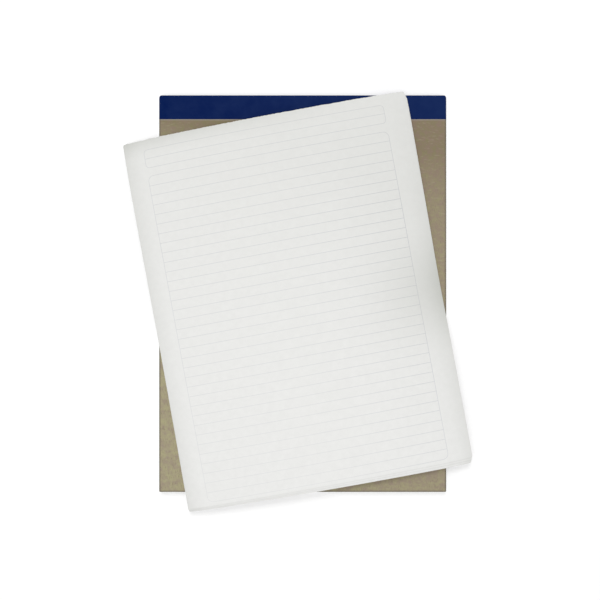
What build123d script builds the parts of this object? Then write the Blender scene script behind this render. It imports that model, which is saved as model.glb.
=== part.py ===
from build123d import *
import os
from math import exp

# A tape-bound legal pad that lies on its front, with its back board up, and three
# of its ruled sheets, torn off at the perforation and laid across the board.
# Sizes are in millimetres. +Z is up, +Y points to the bound head, and the origin
# is the middle of the face that the pad lies on.

# The pad
pad_width = 215.9
pad_length = 298.45
bound_sheet_count = 50
sheet_caliper = 0.1
board_thickness = 1.5
head_corner_radius = 2.2
foot_corner_radius = 0.8

# The binding tape, folded over the head
tape_thickness = 0.2
tape_flap = 18.0
tape_fold_radius = 0.5

# The wire staples under the tape
staple_count = 3
staple_inset = 9.0
staple_crown = 12.7
staple_clinch = 4.5
wire_width = 0.6
wire_thickness = 0.4
wire_bend = 0.3
wire_seat = 0.02
wire_gap = 0.05

# The loose sheets, cut to the width of the pad
loose_length = 279.4
loose_corner_radius = 1.6
sheaf_x = -4.1
sheaf_y = -6.5
sheaf_turn = 10.3
sheet_gap = 0.25
sheet_slip = 1.4
sheet_fan = 0.25

# How the sheaf lies on the board: arched across its width, its sides and head
# rolled down, one stretch of its right side pressed onto the board, and its
# far left corner drooping past the pad
seat_gap = 0.3
bow_height = 4.0
side_roll = 1.6
head_roll = 1.6
roll_reach = 24.0
press_depth = 1.6
press_along = -6.0
press_length = 64.0
press_width = 50.0
droop_depth = 1.8
droop_reach = 60.0
points_across = 13
sections_along = 11
overrun = 5.0

# Worked out from the sizes above
block_thickness = bound_sheet_count * sheet_caliper
board_back = block_thickness + board_thickness
head_y = pad_length / 2
core_head_y = head_y - tape_thickness
flap_y = head_y - tape_flap
core_fold_radius = tape_fold_radius - tape_thickness
staple_y = head_y - staple_inset
staple_spacing = pad_width / staple_count
half_width = pad_width / 2
half_length = loose_length / 2
bow_shortening = 8 / 3 * bow_height**2 / pad_width
sheet_pitch = sheet_caliper + sheet_gap

os.makedirs("parts", exist_ok=True)

# Plan of the whole pad, seen from above, with its four corners eased
with BuildSketch() as pad_plan:
    Rectangle(pad_width, pad_length)
    fillet(pad_plan.vertices().group_by(Axis.Y)[-1], head_corner_radius)
    fillet(pad_plan.vertices().group_by(Axis.Y)[0], foot_corner_radius)

# Line of one staple's wire, seen from the head: the crown lies under the front
# flap of the tape, the legs go up through paper and board, and their ends are
# clinched inwards under the back flap
crown_z = tape_thickness + wire_seat + wire_thickness / 2
clinch_z = board_back - wire_seat - wire_thickness / 2
leg_x = (staple_crown - wire_thickness) / 2


def staple_points(middle_x):
    left_x = middle_x - leg_x
    right_x = middle_x + leg_x
    return [
        (left_x + staple_clinch, staple_y, clinch_z),
        (left_x, staple_y, clinch_z),
        (left_x, staple_y, crown_z),
        (right_x, staple_y, crown_z),
        (right_x, staple_y, clinch_z),
        (right_x - staple_clinch, staple_y, clinch_z),
    ]


def swept_wire(wire_line, gap, mode):
    """A staple's flat wire along its line, or with a gap round it the slot for it."""
    across_wire = Plane(wire_line @ 0, x_dir=(0, 1, 0), z_dir=wire_line % 0)
    with BuildSketch(across_wire) as wire_section:
        Rectangle(wire_width + 2 * gap, wire_thickness + 2 * gap)
    sweep(wire_section.sketch, path=wire_line, transition=Transition.RIGHT, mode=mode)


def staple_wire(middle_x):
    with BuildLine(mode=Mode.PRIVATE) as wire_line:
        FilletPolyline(*staple_points(middle_x), radius=wire_bend)
    swept_wire(wire_line.line, 0, Mode.ADD)


def staple_slot(middle_x):
    with BuildLine(mode=Mode.PRIVATE) as slot_line:
        Polyline(*staple_points(middle_x))
    swept_wire(slot_line.line, wire_gap, Mode.SUBTRACT)


staple_middles = [
    (place - (staple_count - 1) / 2) * staple_spacing for place in range(staple_count)
]

# The bound sheets: one block, rebated at the head for the tape's front flap
with BuildPart() as paper_block:
    with BuildSketch(Plane.YZ) as block_section:
        with BuildLine():
            Polyline(
                (-head_y, 0),
                (flap_y, 0),
                (flap_y, tape_thickness),
                (core_head_y, tape_thickness),
                (core_head_y, block_thickness),
                (-head_y, block_thickness),
                close=True,
            )
        make_face()
        front_fold = block_section.vertices().group_by(Axis.X)[-1].sort_by(Axis.Y)[0]
        fillet(front_fold, core_fold_radius)
    extrude(amount=half_width, both=True)
    extrude(pad_plan.sketch, amount=board_back, mode=Mode.INTERSECT)
    for middle_x in staple_middles:
        staple_slot(middle_x)
paper_block.part.label = "paper_block"
export_step(paper_block.part, "parts/paper_block.step")

# The back board: chipboard, as large as the sheets, on top as the pad lies
with BuildPart() as backing_board:
    with BuildSketch(Plane.YZ) as board_section:
        with BuildLine():
            Polyline(
                (-head_y, block_thickness),
                (core_head_y, block_thickness),
                (core_head_y, board_back),
                (-head_y, board_back),
                close=True,
            )
        make_face()
        back_fold = board_section.vertices().group_by(Axis.X)[-1].sort_by(Axis.Y)[-1]
        fillet(back_fold, core_fold_radius)
    extrude(amount=half_width, both=True)
    extrude(pad_plan.sketch, amount=board_back, mode=Mode.INTERSECT)
    for middle_x in staple_middles:
        staple_slot(middle_x)
backing_board.part.label = "backing_board"
export_step(backing_board.part, "parts/backing_board.step")

# The binding tape: flush with the sheets at the front, on the board at the back
with BuildPart() as binding_tape:
    with BuildSketch(Plane.YZ) as tape_section:
        with BuildLine():
            Polyline(
                (flap_y, 0),
                (head_y, 0),
                (head_y, board_back + tape_thickness),
                (flap_y, board_back + tape_thickness),
                close=True,
            )
        make_face()
        fillet(tape_section.vertices().group_by(Axis.X)[-1], tape_fold_radius)
        with BuildSketch(Plane.YZ, mode=Mode.SUBTRACT) as core_section:
            with BuildLine():
                Polyline(
                    (flap_y, tape_thickness),
                    (core_head_y, tape_thickness),
                    (core_head_y, board_back),
                    (flap_y, board_back),
                    close=True,
                )
            make_face()
            fillet(core_section.vertices().group_by(Axis.X)[-1], core_fold_radius)
    extrude(amount=half_width, both=True)
    extrude(pad_plan.sketch, amount=board_back + tape_thickness, mode=Mode.INTERSECT)
binding_tape.part.label = "binding_tape"
export_step(binding_tape.part, "parts/binding_tape.step")

# The staples
for number, middle_x in enumerate(staple_middles, 1):
    with BuildPart() as staple:
        staple_wire(middle_x)
    staple.part.label = f"staple_{number}"
    export_step(staple.part, f"parts/staple_{number}.step")


def rolled(from_edge):
    """Share of a roll at this distance in from the edge that is rolled down."""
    return max(0, 1 - from_edge / roll_reach) ** 2


def near(distance, reach):
    """1 at the middle of a local dip, falling smoothly to about 0 at its reach."""
    return exp(-((2 * distance / reach) ** 2))


def sheaf_height(across, along):
    """Height of the sheaf's underside over the board, from the sheaf's middle."""
    side = across / half_width
    bow = bow_height * (1 - side**2)
    left = side_roll * rolled(half_width + across)
    right = side_roll * rolled(half_width - across)
    head = head_roll * rolled(half_length - along)
    base = seat_gap + side_roll + press_depth * (1 + side) / 2
    press = press_depth * near(half_width - across, press_width) * near(
        along - press_along, press_length
    )
    corner = Vector(across + half_width, along - half_length).length
    droop = droop_depth * near(corner, droop_reach)
    return base + bow - left - right - head - press - droop


# A form's sections, and the points along each one, are evenly spaced and run a
# little past the sheet's edges, where the outline then cuts
def stations(half_size, count):
    end = half_size + overrun
    return [-end + 2 * end * place / (count - 1) for place in range(count)]


across_stations = stations(half_width, points_across)
along_stations = stations(half_length, sections_along)
form_top = board_back + 3 * bow_height

# The loose sheets, the lowest first: each above it lies a little further up
# the sheaf and is turned a little more. A sheet is the underside of a form that
# would press it to its bow, trimmed to its outline and given its thickness
sheaf = Plane(origin=(sheaf_x, sheaf_y, 0)).rotated((0, 0, sheaf_turn))
for layer, sheet_name in enumerate(("bottom_sheet", "middle_sheet", "top_sheet")):
    order = layer - 1
    lay = Plane(sheaf.from_local_coords(Vector(0, order * sheet_slip, 0))).rotated(
        (0, 0, sheaf_turn + order * sheet_fan)
    )
    underside_z = board_back + layer * sheet_pitch
    with BuildPart() as form:
        for along in along_stations:
            underside = []
            for across in across_stations:
                spot = sheaf.to_local_coords(lay.from_local_coords(Vector(across, along, 0)))
                underside.append((across, underside_z + sheaf_height(spot.X, spot.Y)))
            left_top = (across_stations[0], form_top)
            right_top = (across_stations[-1], form_top)
            station = Plane(
                lay.from_local_coords(Vector(0, along, 0)),
                x_dir=lay.x_dir,
                z_dir=-lay.y_dir,
            )
            with BuildSketch(station):
                with BuildLine():
                    Spline(*underside)
                    Polyline(underside[-1], right_top, left_top, underside[0])
                make_face()
        loft()
        with BuildSketch(lay):
            RectangleRounded(pad_width - bow_shortening, loose_length, loose_corner_radius)
        extrude(amount=form_top, mode=Mode.INTERSECT)
    form_underside = min(form.faces(), key=lambda face: face.normal_at().Z)
    with BuildPart() as loose_sheet:
        extrude(form_underside, amount=sheet_caliper, dir=(0, 0, 1))
    loose_sheet.part.label = sheet_name
    export_step(loose_sheet.part, f"parts/{sheet_name}.step")
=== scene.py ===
import math
import random

import bmesh
import bpy
from mathutils import Matrix, Vector, noise


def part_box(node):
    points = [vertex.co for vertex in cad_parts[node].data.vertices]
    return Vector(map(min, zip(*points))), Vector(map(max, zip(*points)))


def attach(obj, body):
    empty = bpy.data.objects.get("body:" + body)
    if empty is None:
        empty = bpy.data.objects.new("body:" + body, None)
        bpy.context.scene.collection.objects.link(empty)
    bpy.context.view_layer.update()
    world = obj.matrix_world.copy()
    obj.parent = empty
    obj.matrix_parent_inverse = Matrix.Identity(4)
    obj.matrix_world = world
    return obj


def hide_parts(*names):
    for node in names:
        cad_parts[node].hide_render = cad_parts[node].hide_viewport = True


# A legal pad that lies on its front, with its back board up, and three of its own
# torn-off sheets laid across the board. Lengths are in metres, and +Y points to
# the pad's bound head.
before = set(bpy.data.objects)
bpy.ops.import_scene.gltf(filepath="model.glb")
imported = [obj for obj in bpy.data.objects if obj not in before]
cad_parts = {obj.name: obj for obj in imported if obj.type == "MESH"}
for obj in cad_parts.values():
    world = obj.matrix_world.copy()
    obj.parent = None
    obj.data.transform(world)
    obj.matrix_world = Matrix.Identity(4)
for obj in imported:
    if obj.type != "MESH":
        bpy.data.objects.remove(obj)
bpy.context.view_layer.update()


# The camera looks straight down on the back board from half a metre over it, with
# the head of the pad at the top of the picture.
board_low, board_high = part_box("backing_board")
board_back = board_high.z
camera_x = -0.00203
camera_y = -0.00482
camera_height = 0.5
camera_lens = 39.87

camera_data = bpy.data.cameras.new("camera")
camera_data.lens = camera_lens
camera = bpy.data.objects.new("camera", camera_data)
camera.location = (camera_x, camera_y, board_back + camera_height)
bpy.context.scene.collection.objects.link(camera)
bpy.context.scene.camera = camera


# The studio: a white sweep under a large soft lamp overhead, a smaller one beyond the
# head of the pad, and light from all round. Sweep and surround look white to the eye
# and in reflections, and the sweep keeps the object's shadow.
bpy.context.scene.view_settings.view_transform = "Standard"
white = (1.0, 1.0, 1.0, 1.0)
surround_strength = 0.5
floor_size = 6.0
floor_colour = (0.88, 0.88, 0.88, 1.0)

# The sweep's own glow, which rises where it runs out of the lamps' light
near_glow = 0.15
far_glow = 0.6
lit_to = 0.4
unlit_from = 1.4


def add_node(tree, kind, inputs, **settings):
    """A shader node with these settings, its inputs set to values or joined to outputs."""
    node = tree.nodes.new(kind)
    for setting, value in settings.items():
        setattr(node, setting, value)
    for socket, value in inputs.items():
        if isinstance(value, bpy.types.NodeSocket):
            tree.links.new(value, node.inputs[socket])
        else:
            node.inputs[socket].default_value = value
    return node


def maths(tree, operation, first, second=0.0, third=0.0):
    """The result of one sum on numbers or outputs."""
    sum_inputs = {0: first, 1: second, 2: third}
    return add_node(tree, "ShaderNodeMath", sum_inputs, operation=operation).outputs[0]


def seen_directly(tree):
    """1 for rays from the eye, a mirror or clear glass, and 0 for light that only bounces."""
    rays = add_node(tree, "ShaderNodeLightPath", {}).outputs
    by_eye = maths(tree, "MAXIMUM", rays["Is Camera Ray"], rays["Is Glossy Ray"])
    return maths(tree, "MAXIMUM", by_eye, rays["Is Transmission Ray"])


world = bpy.data.worlds.new("surround")
bpy.context.scene.world = world
world.use_nodes = True
surround = world.node_tree
surround.nodes.clear()
surround_light = add_node(
    surround, "ShaderNodeBackground", {"Color": white, "Strength": surround_strength}
)
surround_white = add_node(surround, "ShaderNodeBackground", {"Color": white, "Strength": 1.0})
surround_mix = add_node(
    surround,
    "ShaderNodeMixShader",
    {0: seen_directly(surround), 1: surround_light.outputs[0], 2: surround_white.outputs[0]},
)
add_node(surround, "ShaderNodeOutputWorld", {"Surface": surround_mix.outputs[0]})


def add_lamp(name, place, size, power):
    """A square soft lamp that points at the middle of the pad."""
    data = bpy.data.lights.new(name, "AREA")
    data.size = size
    data.energy = power
    lamp = bpy.data.objects.new(name, data)
    lamp.location = place
    lamp.rotation_euler = (-Vector(place)).to_track_quat("-Z", "Y").to_euler()
    bpy.context.scene.collection.objects.link(lamp)


add_lamp("overhead_lamp", place=(-0.1, -0.25, 1.4), size=0.9, power=7.6)
add_lamp("head_lamp", place=(-0.1, 0.72, 1.3), size=0.45, power=5.8)

floor_shape = bmesh.new()
bmesh.ops.create_grid(floor_shape, x_segments=1, y_segments=1, size=floor_size / 2)
floor_mesh = bpy.data.meshes.new("floor")
floor_shape.to_mesh(floor_mesh)
floor_shape.free()
floor = bpy.data.objects.new("floor", floor_mesh)
bpy.context.scene.collection.objects.link(floor)

sweep_material = bpy.data.materials.new("white_sweep")
sweep_material.use_nodes = True
sweep = sweep_material.node_tree
sweep.nodes.clear()
sweep_paint = add_node(sweep, "ShaderNodeBsdfDiffuse", {"Color": floor_colour})
sweep_place = add_node(sweep, "ShaderNodeTexCoord", {}).outputs["Object"]
from_middle = add_node(sweep, "ShaderNodeVectorMath", {0: sweep_place}, operation="LENGTH")
glow_run = {0: from_middle.outputs["Value"], 1: lit_to, 2: unlit_from, 3: near_glow, 4: far_glow}
floor_glow = add_node(sweep, "ShaderNodeMapRange", glow_run).outputs[0]
seen_glow = maths(sweep, "MULTIPLY", seen_directly(sweep), floor_glow)
sweep_glow = add_node(sweep, "ShaderNodeEmission", {"Color": white, "Strength": seen_glow})
sweep_sum = add_node(
    sweep, "ShaderNodeAddShader", {0: sweep_paint.outputs[0], 1: sweep_glow.outputs[0]}
)
add_node(sweep, "ShaderNodeOutputMaterial", {"Surface": sweep_sum.outputs[0]})
floor_mesh.materials.append(sweep_material)


# The bound sheets: fifty sheets of white writing paper with pale rules on both
# sides, perforated just below the tape, padded with glue at the head and held by
# the staples. The guillotine leaves their edges nearly flush.
block_low, block_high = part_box("paper_block")
tape_low, tape_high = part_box("binding_tape")
pad_width = block_high.x - block_low.x
half_width = pad_width / 2
foot_y = block_low.y
sheet_caliper = 0.0001
bound_sheet_count = round((block_high.z - block_low.z) / sheet_caliper)
tape_thickness = tape_high.z - board_back
rebated_sheets = round(tape_thickness / sheet_caliper)
head_corner = 0.002
foot_corner = 0.0008
corner_steps = 4
edge_stray = 0.00004
stray_seed = 4
sheet_air = 0.000012
torn_length = 0.2794

# The paper: cloudy where its pulp lies thinner, with a slight tooth
paper_roughness = 0.85
paper_gloss = 0.15
paper_white = (0.815, 0.815, 0.80, 1.0)
paper_grey = (0.785, 0.785, 0.77, 1.0)
formation_size = 0.004
tooth_size = 0.0004
tooth_depth = 0.00002

# The perforation that a sheet is torn off at
perforation_y = foot_y + torn_length
perforation_pitch = 0.0012
perforation_cut = 0.0007
perforation_width = 0.0002
perforation_grey = (0.35, 0.35, 0.34, 1.0)

# The print, whose lines are solid and then gone at these shares of their width from
# the middle, and where it lies on a sheet, from its left and torn edges
rule_blue = (0.52, 0.53, 0.57, 1.0)
bound_print = 0.6
rule_width = 0.0003
solid_share = 0.35
gone_share = 0.65
box_left = 0.0153
box_right = pad_width - 0.0182
head_box_top = 0.0082
head_box_rule = 0.0149
head_box_foot = 0.0220
head_box_corner = 0.0028
main_box_top = 0.0283
main_box_foot = 0.2760
main_box_rows = 34
main_box_corner = 0.0042

# The run that nearly all of a noise pattern's values lie in
noise_low = 0.3
noise_high = 0.7


def noise_pattern(tree, place, size, detail=3.0, roughness=0.5):
    """Cloudy variation from 0 to 1 with blotches of about this size."""
    pattern_inputs = {"Vector": place, "Scale": 1 / size, "Detail": detail, "Roughness": roughness}
    return add_node(tree, "ShaderNodeTexNoise", pattern_inputs).outputs["Fac"]


def stretched(tree, place, scale):
    """The same place measured with a stretched ruler, which draws a pattern out."""
    return add_node(tree, "ShaderNodeMapping", {"Vector": place, "Scale": scale}).outputs[0]


def remapped(tree, value, low, high, new_low=0.0, new_high=1.0, **settings):
    """The value's run from low to high, drawn out to run from new_low to new_high."""
    steps = {0: value, 1: low, 2: high, 3: new_low, 4: new_high}
    return add_node(tree, "ShaderNodeMapRange", steps, **settings).outputs[0]


def mixed(tree, share, first, second):
    """A colour between two, by its share of the second."""
    colours = {0: share, 6: first, 7: second}
    return add_node(tree, "ShaderNodeMix", colours, data_type="RGBA").outputs[2]


def on_line(tree, distance, width):
    """1 on a line and 0 off it, soft at its edges, from the distance to its middle."""
    away = maths(tree, "ABSOLUTE", distance)
    return remapped(tree, away, solid_share * width, gone_share * width, 1.0, 0.0)


def diagonal(tree, along, over):
    """The distance made by two distances at right angles."""
    squares = maths(tree, "MULTIPLY_ADD", along, along, maths(tree, "MULTIPLY", over, over))
    return maths(tree, "SQRT", squares)


def rounded_box(tree, across, down, left, right, top, foot, corner):
    """The distance to the outline of a box with round corners, below 0 inside it."""
    beside = maths(tree, "SUBTRACT", across, (left + right) / 2)
    below = maths(tree, "SUBTRACT", down, (top + foot) / 2)
    past_side = maths(tree, "SUBTRACT", maths(tree, "ABSOLUTE", beside), (right - left) / 2 - corner)
    past_foot = maths(tree, "SUBTRACT", maths(tree, "ABSOLUTE", below), (foot - top) / 2 - corner)
    out_side = maths(tree, "MAXIMUM", past_side, 0.0)
    out_foot = maths(tree, "MAXIMUM", past_foot, 0.0)
    outside = diagonal(tree, out_side, out_foot)
    inside = maths(tree, "MINIMUM", maths(tree, "MAXIMUM", past_side, past_foot), 0.0)
    return maths(tree, "SUBTRACT", maths(tree, "ADD", outside, inside), corner)


def ruling(tree, across, down):
    """1 on the printed lines, from the distances to the sheet's left and torn edges."""
    main_box = rounded_box(
        tree, across, down, box_left, box_right, main_box_top, main_box_foot, main_box_corner
    )
    head_box = rounded_box(
        tree, across, down, box_left, box_right, head_box_top, head_box_foot, head_box_corner
    )
    row = (main_box_foot - main_box_top) / main_box_rows
    to_next_rule = maths(tree, "PINGPONG", maths(tree, "SUBTRACT", down, main_box_top), row / 2)
    in_main_box = maths(tree, "LESS_THAN", main_box, 0.0)
    rules = maths(tree, "MULTIPLY", in_main_box, on_line(tree, to_next_rule, rule_width))
    to_head_rule = maths(tree, "SUBTRACT", down, head_box_rule)
    in_head_box = maths(tree, "LESS_THAN", head_box, 0.0)
    head_rule = maths(tree, "MULTIPLY", in_head_box, on_line(tree, to_head_rule, rule_width))
    outlines = maths(
        tree, "MAXIMUM", on_line(tree, main_box, rule_width), on_line(tree, head_box, rule_width)
    )
    return maths(tree, "MAXIMUM", outlines, maths(tree, "MAXIMUM", rules, head_rule))


def new_finish(name, roughness, gloss):
    """A material of this roughness and gloss, with its nodes, shader and place on the object."""
    material = bpy.data.materials.new(name)
    material.use_nodes = True
    tree = material.node_tree
    shader = tree.nodes["Principled BSDF"]
    shader.inputs["Roughness"].default_value = roughness
    shader.inputs["Specular IOR Level"].default_value = gloss
    place = add_node(tree, "ShaderNodeTexCoord", {}).outputs["Object"]
    return material, tree, shader, place


def raise_surface(tree, shader, height, depth):
    """Gives the finish a relief of this depth."""
    relief = add_node(tree, "ShaderNodeBump", {"Height": height, "Distance": depth})
    tree.links.new(relief.outputs[0], shader.inputs["Normal"])


def writing_paper(tree, shader, place, across, down, strength):
    """Writing paper's colour, with its tooth, ruled from the distances to its left and torn edges."""
    formation = noise_pattern(tree, place, formation_size, detail=4.0, roughness=0.6)
    stock = mixed(tree, remapped(tree, formation, noise_low, noise_high), paper_white, paper_grey)
    raise_surface(tree, shader, noise_pattern(tree, place, tooth_size), tooth_depth)
    printed = maths(tree, "MULTIPLY", ruling(tree, across, down), strength)
    return mixed(tree, printed, stock, rule_blue)


bound_paper, bound_tree, bound_shader, bound_place = new_finish(
    "bound_writing_paper", paper_roughness, paper_gloss
)
bound_axes = add_node(bound_tree, "ShaderNodeSeparateXYZ", {0: bound_place}).outputs
bound_across = maths(bound_tree, "SUBTRACT", half_width, bound_axes["X"])
bound_down = maths(bound_tree, "SUBTRACT", perforation_y, bound_axes["Y"])
bound_colour = writing_paper(
    bound_tree, bound_shader, bound_place, bound_across, bound_down, bound_print
)
to_cut = maths(bound_tree, "PINGPONG", bound_across, perforation_pitch / 2)
cuts = maths(bound_tree, "LESS_THAN", to_cut, perforation_cut / 2)
perforated_line = on_line(bound_tree, bound_down, perforation_width)
perforation = maths(bound_tree, "MULTIPLY", cuts, perforated_line)
bound_colour = mixed(bound_tree, perforation, bound_colour, perforation_grey)
bound_tree.links.new(bound_colour, bound_shader.inputs["Base Color"])

stray = random.Random(stray_seed)
stack_shape = bmesh.new()
for number in range(bound_sheet_count):
    sheet_head = tape_low.y if number < rebated_sheets else block_high.y
    made = bmesh.ops.create_cube(stack_shape, size=1.0)["verts"]
    sheet_size = (pad_width - 2 * edge_stray, sheet_head - foot_y, sheet_caliper - sheet_air)
    middle = (
        stray.uniform(-edge_stray, edge_stray),
        (sheet_head + foot_y) / 2 + stray.uniform(0, edge_stray),
        (number + 0.5) * sheet_caliper,
    )
    bmesh.ops.scale(stack_shape, vec=sheet_size, verts=made)
    bmesh.ops.translate(stack_shape, vec=middle, verts=made)
    upright = [
        edge
        for edge in {edge for vert in made for edge in vert.link_edges}
        if abs(edge.verts[0].co.z - edge.verts[1].co.z) > sheet_caliper / 2
    ]
    head_edges = [edge for edge in upright if edge.verts[0].co.y > 0]
    foot_edges = [edge for edge in upright if edge.verts[0].co.y < 0]
    for edges, corner in ((head_edges, head_corner), (foot_edges, foot_corner)):
        bmesh.ops.bevel(
            stack_shape,
            geom=edges,
            offset=corner,
            segments=corner_steps,
            profile=0.5,
            affect="EDGES",
            material=-1,
        )
stack_mesh = bpy.data.meshes.new("bound_sheets")
stack_shape.to_mesh(stack_mesh)
stack_shape.free()
stack_mesh.materials.append(bound_paper)
bound_sheets = bpy.data.objects.new("bound_sheets", stack_mesh)
bpy.context.scene.collection.objects.link(bound_sheets)
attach(bound_sheets, "root")
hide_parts("paper_block")


# The back board: one piece of grey-brown chipboard pressed from waste paper, so its
# face is mottled and flecked with fibres, has painted shade by the tape and at the
# right, and is darker at its cut edges.
# It is stapled and taped to the sheets at the head.
board_brown = (0.322, 0.264, 0.200, 1.0)
board_olive = (0.380, 0.350, 0.210, 1.0)
mottle_size = 0.004
brown_below = 0.38
olive_above = 0.62
olive_at_left = 0.1
olive_at_right = -0.1

# Its painted shade: a little at the right, more towards the far right corner, and most by
# the tape. The falloffs are powers of the share of the way to the head
shaded_brown = (0.242, 0.182, 0.132, 1.0)
shaded_olive = (0.222, 0.194, 0.108, 1.0)
board_right_shade = 0.18
corner_shade = 0.8
corner_shade_falloff = 3.0
tape_shade = 2.2
tape_shade_falloff = 12.0

# Its fibres: fine dark ones that lie along the board, and pale ones across it
dark_fibre = (0.22, 0.185, 0.13, 1.0)
dark_fibre_size = 0.0006
dark_fibre_stretch = (1.0, 0.25, 4.0)
dark_fibre_from = 0.56
dark_fibre_share = 0.75
pale_fibre = (0.46, 0.42, 0.31, 1.0)
pale_fibre_size = 0.0012
pale_fibre_stretch = (0.3, 1.0, 4.0)
pale_fibre_from = 0.58
pale_fibre_share = 0.22
fibre_full = 0.75
board_relief_depth = 0.00006

# A pale line on the board just below the tape, and the dark cut edge
under_tape_pale = (0.36, 0.35, 0.35, 1.0)
pale_full_to = 0.0003
pale_to = 0.0013
pale_share = 0.45
cut_dark = (0.11, 0.10, 0.075, 1.0)
cut_width = 0.0014
cut_share = 0.9

chipboard, board_tree, board_shader, board_place = new_finish(
    "grey_chipboard", roughness=0.9, gloss=0.1
)
board_axes = add_node(board_tree, "ShaderNodeSeparateXYZ", {0: board_place}).outputs
to_right = remapped(board_tree, board_axes["X"], board_low.x, board_high.x)
to_head = remapped(board_tree, board_axes["Y"], board_low.y, board_high.y)
mottle = noise_pattern(board_tree, board_place, mottle_size, detail=5.0, roughness=0.75)
mottle = remapped(board_tree, mottle, brown_below, olive_above)
olive_lean = remapped(board_tree, to_right, 0.0, 1.0, olive_at_left, olive_at_right)
olive = maths(board_tree, "ADD", mottle, olive_lean)
board_stock = mixed(board_tree, olive, board_brown, board_olive)
shaded_stock = mixed(board_tree, olive, shaded_brown, shaded_olive)
to_corner = maths(
    board_tree, "MULTIPLY", to_right, maths(board_tree, "POWER", to_head, corner_shade_falloff)
)
to_tape = maths(board_tree, "POWER", to_head, tape_shade_falloff)
board_painted_shade = maths(board_tree, "MULTIPLY", to_right, board_right_shade)
board_painted_shade = maths(board_tree, "MULTIPLY_ADD", to_corner, corner_shade, board_painted_shade)
board_painted_shade = maths(board_tree, "MULTIPLY_ADD", to_tape, tape_shade, board_painted_shade)
# The board's painted shade, mixed into its colour
board_stock = mixed(board_tree, board_painted_shade, board_stock, shaded_stock)

dark_place = stretched(board_tree, board_place, dark_fibre_stretch)
dark_fibres = noise_pattern(board_tree, dark_place, dark_fibre_size)
dark_flecks = remapped(
    board_tree, dark_fibres, dark_fibre_from, fibre_full, 0.0, dark_fibre_share
)
board_stock = mixed(board_tree, dark_flecks, board_stock, dark_fibre)
pale_place = stretched(board_tree, board_place, pale_fibre_stretch)
pale_fibres = noise_pattern(board_tree, pale_place, pale_fibre_size)
pale_flecks = remapped(
    board_tree, pale_fibres, pale_fibre_from, fibre_full, 0.0, pale_fibre_share
)
board_stock = mixed(board_tree, pale_flecks, board_stock, pale_fibre)
board_relief = maths(board_tree, "ADD", dark_fibres, pale_fibres)
raise_surface(board_tree, board_shader, board_relief, board_relief_depth)

past_tape = maths(board_tree, "SUBTRACT", tape_low.y, board_axes["Y"])
pale_line = remapped(board_tree, past_tape, pale_full_to, pale_to, pale_share, 0.0)
board_stock = mixed(board_tree, pale_line, board_stock, under_tape_pale)
off_middle = maths(board_tree, "ABSOLUTE", board_axes["X"])
from_side = maths(board_tree, "SUBTRACT", board_high.x, off_middle)
from_foot = maths(board_tree, "SUBTRACT", board_axes["Y"], board_low.y)
from_cut = maths(board_tree, "MINIMUM", from_side, from_foot)
cut_line = remapped(board_tree, from_cut, 0.0, cut_width, cut_share, 0.0)
board_stock = mixed(board_tree, cut_line, board_stock, cut_dark)
board_tree.links.new(board_stock, board_shader.inputs["Base Color"])


def dress(node, material):
    """Gives a CAD node its finish."""
    for material_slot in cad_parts[node].material_slots:
        material_slot.material = material


dress("backing_board", chipboard)


# The binding tape: one strip of dark blue coated paper tape, glued over the head
# and folded down on the front and on the back board. Its coat has a fine grain
# and a dull sheen, and it stands up a little over the clinched staples.
tape_blue = (0.0010, 0.0100, 0.0720, 1.0)
tape_pale_blue = (0.0075, 0.0205, 0.0900, 1.0)
wear_size = 0.012
worn_from = 0.35
worn_to = 0.7
cloudy_wear = 0.6
right_lightening = 0.6
tape_grain_size = 0.0005
tape_grain_height = 0.3
glossy_grain = 0.42
dull_grain = 0.6
tape_relief_depth = 0.00006

# The hump over a staple's wire: how far it spreads, and how flat its top is
hump_spread = 0.0016
hump_top = 0.6
hump_softness = 0.4
staple_nodes = ("staple_1", "staple_2", "staple_3")

tape_finish, tape_tree, tape_shader, tape_place = new_finish(
    "blue_binding_tape", roughness=0.5, gloss=0.02
)
tape_axes = add_node(tape_tree, "ShaderNodeSeparateXYZ", {0: tape_place}).outputs
clouds = noise_pattern(tape_tree, tape_place, wear_size, detail=4.0, roughness=0.6)
wear_and_right_lightening = remapped(tape_tree, clouds, worn_from, worn_to, 0.0, cloudy_wear)
# Lighter towards the right
right_lightening_share = remapped(tape_tree, tape_axes["X"], tape_low.x, tape_high.x, 0.0, right_lightening)
wear_and_right_lightening = maths(tape_tree, "ADD", wear_and_right_lightening, right_lightening_share)
tape_coat = mixed(tape_tree, wear_and_right_lightening, tape_blue, tape_pale_blue)
tape_tree.links.new(tape_coat, tape_shader.inputs["Base Color"])
tape_grain = noise_pattern(tape_tree, tape_place, tape_grain_size)
coat_roughness = remapped(tape_tree, tape_grain, noise_low, noise_high, glossy_grain, dull_grain)
tape_tree.links.new(coat_roughness, tape_shader.inputs["Roughness"])
tape_relief = maths(tape_tree, "MULTIPLY", tape_grain, tape_grain_height)
for staple in staple_nodes:
    wire_low, wire_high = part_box(staple)
    beside = maths(tape_tree, "SUBTRACT", tape_axes["X"], (wire_low.x + wire_high.x) / 2)
    beside = maths(tape_tree, "ABSOLUTE", beside)
    past_end = maths(tape_tree, "SUBTRACT", beside, (wire_high.x - wire_low.x) / 2)
    past_end = maths(tape_tree, "MAXIMUM", past_end, 0.0)
    off_line = maths(tape_tree, "SUBTRACT", tape_axes["Y"], (wire_low.y + wire_high.y) / 2)
    off_wire = diagonal(tape_tree, past_end, off_line)
    hump = remapped(tape_tree, off_wire, 0.0, hump_spread, 1.0, 0.0)
    hump = maths(tape_tree, "SMOOTH_MIN", hump, hump_top, hump_softness)
    tape_relief = maths(tape_tree, "ADD", tape_relief, hump)
raise_surface(tape_tree, tape_shader, tape_relief, tape_relief_depth)
dress("binding_tape", tape_finish)


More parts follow.
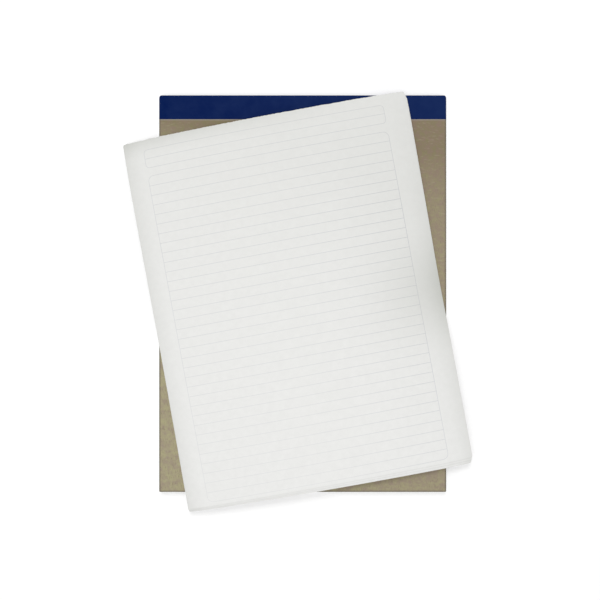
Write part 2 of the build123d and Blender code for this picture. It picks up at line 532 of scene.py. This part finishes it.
# The staples: three lengths of flat steel stitching wire, driven up through the
# sheets and the board from the front and clinched on the back, under the tape.
steel_grey = (0.60, 0.60, 0.58, 1.0)
steel_dull = (0.45, 0.45, 0.44, 1.0)
drawn_size = 0.0002
drawn_stretch = (0.1, 1.0, 0.1)
drawn_depth = 0.00001

stitching_wire, wire_tree, wire_shader, wire_place = new_finish(
    "stitching_wire", roughness=0.35, gloss=0.5
)
wire_shader.inputs["Metallic"].default_value = 1.0
drawn_place = stretched(wire_tree, wire_place, drawn_stretch)
drawn_lines = noise_pattern(wire_tree, drawn_place, drawn_size, detail=2.0)
drawn_share = remapped(wire_tree, drawn_lines, noise_low, noise_high)
wire_colour = mixed(wire_tree, drawn_share, steel_grey, steel_dull)
wire_tree.links.new(wire_colour, wire_shader.inputs["Base Color"])
raise_surface(wire_tree, wire_shader, drawn_lines, drawn_depth)
for staple in staple_nodes:
    dress(staple, stitching_wire)


# The loose sheets: three ruled sheets torn off at the perforation and laid across the
# board, each slipped and turned a little on the one below. They are arched across their
# width and rolled down at the sides and head, with painted shade on their paper.
loose_length = torn_length
half_length = loose_length / 2
loose_corner = 0.0016
sheaf_x = -0.0041
sheaf_y = -0.0065
sheaf_turn = math.radians(10.3)
sheet_pitch = 0.00035
sheet_slip = 0.0014
sheet_fan = math.radians(0.25)

# How the sheaf lies: its bow and its rolled edges, the stretch of its right side
# that is pressed onto the board, and the far left corner that droops past the pad
seat_gap = 0.0003
bow_height = 0.004
side_roll = 0.0016
head_roll = 0.0016
roll_reach = 0.024
press_depth = 0.0016
press_along = -0.006
press_length = 0.064
press_width = 0.050
droop_depth = 0.0018
droop_reach = 0.060
loose_width = pad_width - 8 / 3 * bow_height**2 / pad_width

# What only the finer sheets have: a torn head edge and a slight cockle
cells_across = 216
cells_along = 140
tear_depth = 0.00035
cockle_height = 0.00012
cockle_size = 0.05
crease_angle = math.radians(30)

# The print's strength: it fades to the foot, and is stronger at the right
fades_from = 0.3 * loose_length
right_print_from = 0.5 * pad_width
right_print_to = 0.85 * pad_width
head_print = 0.64
left_foot_print = 0.28
right_print = 1.0
right_foot_print = 0.6

# Painted shade, as shares of its grey: along the rolled edges, in a broad band at the right,
# where it is pressed down, towards the head, and a painted shadow line on the foot's cut
shade_grey = (0.45, 0.46, 0.42, 1.0)
shaded_margin = 0.014
margin_falloff = 1.5
left_margin_shade = 0.20
head_left_shade = 0.36
head_right_shade = -0.05
right_margin_shade = 0.19
band_width = 0.07
band_shade = 0.1
band_foot_shade = 0.02
pressed_middle = 0.151
pressed_across = 0.085
pressed_down = 0.054
pressed_shade = 0.36
pressed_falloff = 2.0
far_left_shade = 0.16
far_right_shade = 0.32
far_falloff = 1.6
most_far_right = 0.5
foot_cut_width = 0.0008
foot_cut_shadow_share = 0.2


def rolled(from_edge):
    """Share of a roll at this distance in from the edge that is rolled down."""
    return max(0.0, 1 - from_edge / roll_reach) ** 2


def near(distance, reach):
    """1 at the middle of a local dip, falling smoothly to about 0 at its reach."""
    return math.exp(-((2 * distance / reach) ** 2))


def sheaf_height(across, along):
    """Height of the sheaf's underside over the board, from the sheaf's middle."""
    side = across / half_width
    bow = bow_height * (1 - side**2)
    left = side_roll * rolled(half_width + across)
    right = side_roll * rolled(half_width - across)
    head = head_roll * rolled(half_length - along)
    base = seat_gap + side_roll + press_depth * (1 + side) / 2
    press_share = near(half_width - across, press_width) * near(along - press_along, press_length)
    press = press_depth * press_share
    corner = math.hypot(across + half_width, along - half_length)
    droop = droop_depth * near(corner, droop_reach)
    cockle = cockle_height * noise.noise(Vector((across, along, 0)) / cockle_size)
    return base + bow - left - right - head - press - droop + cockle


def in_outline(across, along):
    """A grid point's place on the sheet, pulled in to the arc where it lies in a corner."""
    inner = Vector((loose_width / 2 - loose_corner, half_length - loose_corner))
    past = Vector((abs(across) - inner.x, abs(along) - inner.y))
    if past.x > 0 and past.y > 0 and past.length > loose_corner:
        arc = inner + past.normalized() * loose_corner
        return math.copysign(arc.x, across), math.copysign(arc.y, along)
    return across, along


loose_paper, loose_tree, loose_shader, loose_place = new_finish(
    "loose_writing_paper", paper_roughness, paper_gloss
)
sheet_uv = add_node(loose_tree, "ShaderNodeUVMap", {}).outputs[0]
sheet_axes = add_node(loose_tree, "ShaderNodeSeparateXYZ", {0: sheet_uv}).outputs
from_left = maths(loose_tree, "MULTIPLY", sheet_axes["X"], pad_width)
from_right = maths(loose_tree, "SUBTRACT", pad_width, from_left)
from_tear = maths(loose_tree, "MULTIPLY_ADD", sheet_axes["Y"], -loose_length, loose_length)
from_foot_cut = maths(loose_tree, "SUBTRACT", loose_length, from_tear)

print_at_left = remapped(
    loose_tree, from_tear, fades_from, loose_length, head_print, left_foot_print
)
print_at_right = maths(
    loose_tree,
    "MINIMUM",
    remapped(loose_tree, from_tear, 0.0, fades_from, head_print, right_print),
    remapped(loose_tree, from_tear, fades_from, loose_length, right_print, right_foot_print),
)
loose_print = remapped(
    loose_tree, from_left, right_print_from, right_print_to, print_at_left, print_at_right
)
loose_colour = writing_paper(
    loose_tree, loose_shader, loose_place, from_left, from_tear, loose_print
)


def margin_shade(from_edge, amount):
    """Painted shade of a rolled-down edge, strongest at the edge and gone past the margin."""
    share = remapped(loose_tree, from_edge, 0.0, shaded_margin, 1.0, 0.0)
    share = maths(loose_tree, "POWER", share, margin_falloff)
    return maths(loose_tree, "MULTIPLY", share, amount)


def band_at_right():
    """Painted shade in a broad band at the right side, weaker towards the foot."""
    amount = remapped(loose_tree, from_tear, half_length, loose_length, band_shade, band_foot_shade)
    return remapped(loose_tree, from_right, 0.0, band_width, amount, 0.0)


def pressed_patch():
    """Painted shade where the right side is pressed down."""
    off_middle = maths(loose_tree, "SUBTRACT", from_tear, pressed_middle)
    off_middle = maths(loose_tree, "ABSOLUTE", off_middle)
    along = remapped(
        loose_tree, off_middle, 0.0, pressed_down, 1.0, 0.0, interpolation_type="SMOOTHSTEP"
    )
    inwards = remapped(loose_tree, from_right, 0.0, pressed_across, 1.0, 0.0)
    inwards = maths(loose_tree, "POWER", inwards, pressed_falloff)
    amount = maths(loose_tree, "MULTIPLY", inwards, pressed_shade)
    return maths(loose_tree, "MULTIPLY", along, amount)


def far_shade():
    """Painted shade that grows from the foot to the head, and stops growing sooner at the right."""
    share = remapped(loose_tree, from_tear, 0.0, loose_length, 1.0, 0.0)
    share = maths(loose_tree, "POWER", share, far_falloff)
    most = remapped(loose_tree, from_left, half_width, pad_width, 1.0, most_far_right)
    amount = remapped(loose_tree, from_left, 0.0, pad_width, far_left_shade, far_right_shade)
    return maths(loose_tree, "MULTIPLY", maths(loose_tree, "MINIMUM", share, most), amount)


head_amount = remapped(loose_tree, from_left, 0.0, pad_width, head_left_shade, head_right_shade)
right_amount = remapped(loose_tree, from_tear, 0.0, half_length, 0.0, right_margin_shade)
# A painted shadow line along each sheet's foot edge, where the sheets are slipped
foot_cut_shadow = remapped(loose_tree, from_foot_cut, 0.0, foot_cut_width, foot_cut_shadow_share, 0.0)
sheet_painted_shade = margin_shade(from_left, left_margin_shade)
for added in (
    margin_shade(from_tear, head_amount),
    margin_shade(from_right, right_amount),
    band_at_right(),
    pressed_patch(),
    far_shade(),
    foot_cut_shadow,
):
    sheet_painted_shade = maths(loose_tree, "ADD", sheet_painted_shade, added)
# The sheets' painted shade, mixed into the paper's colour
loose_colour = mixed(loose_tree, sheet_painted_shade, loose_colour, shade_grey)
loose_tree.links.new(loose_colour, loose_shader.inputs["Base Color"])

sheaf = Matrix.Translation((sheaf_x, sheaf_y, 0)) @ Matrix.Rotation(sheaf_turn, 4, "Z")
onto_sheaf = sheaf.inverted()
for layer, name in enumerate(("bottom_sheet", "middle_sheet", "top_sheet")):
    order = layer - 1
    lay = (
        sheaf
        @ Matrix.Translation((0, order * sheet_slip, 0))
        @ Matrix.Rotation(order * sheet_fan, 4, "Z")
    )
    torn = random.Random(layer)
    shape = bmesh.new()
    shape.loops.layers.uv.new("sheet")
    bmesh.ops.create_grid(
        shape, x_segments=cells_across, y_segments=cells_along, size=0.5, calc_uvs=True
    )
    for vert in shape.verts:
        across, along = in_outline(vert.co.x * loose_width, vert.co.y * loose_length)
        if along > half_length - tear_depth:
            along -= torn.uniform(0, tear_depth)
        place = lay @ Vector((across, along, 0))
        spot = onto_sheaf @ place
        place.z = board_back + layer * sheet_pitch + sheaf_height(spot.x, spot.y)
        vert.co = place
    over = bmesh.ops.extrude_face_region(shape, geom=shape.faces[:])["geom"]
    over_verts = [item for item in over if isinstance(item, bmesh.types.BMVert)]
    bmesh.ops.translate(shape, vec=(0, 0, sheet_caliper), verts=over_verts)
    bmesh.ops.recalc_face_normals(shape, faces=shape.faces[:])
    for face in shape.faces:
        face.smooth = True
    mesh = bpy.data.meshes.new(f"loose_{name}")
    shape.to_mesh(mesh)
    shape.free()
    mesh.set_sharp_from_angle(angle=crease_angle)
    mesh.materials.append(loose_paper)
    loose_sheet = bpy.data.objects.new(f"loose_{name}", mesh)
    bpy.context.scene.collection.objects.link(loose_sheet)
    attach(loose_sheet, "root")
    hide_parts(name)
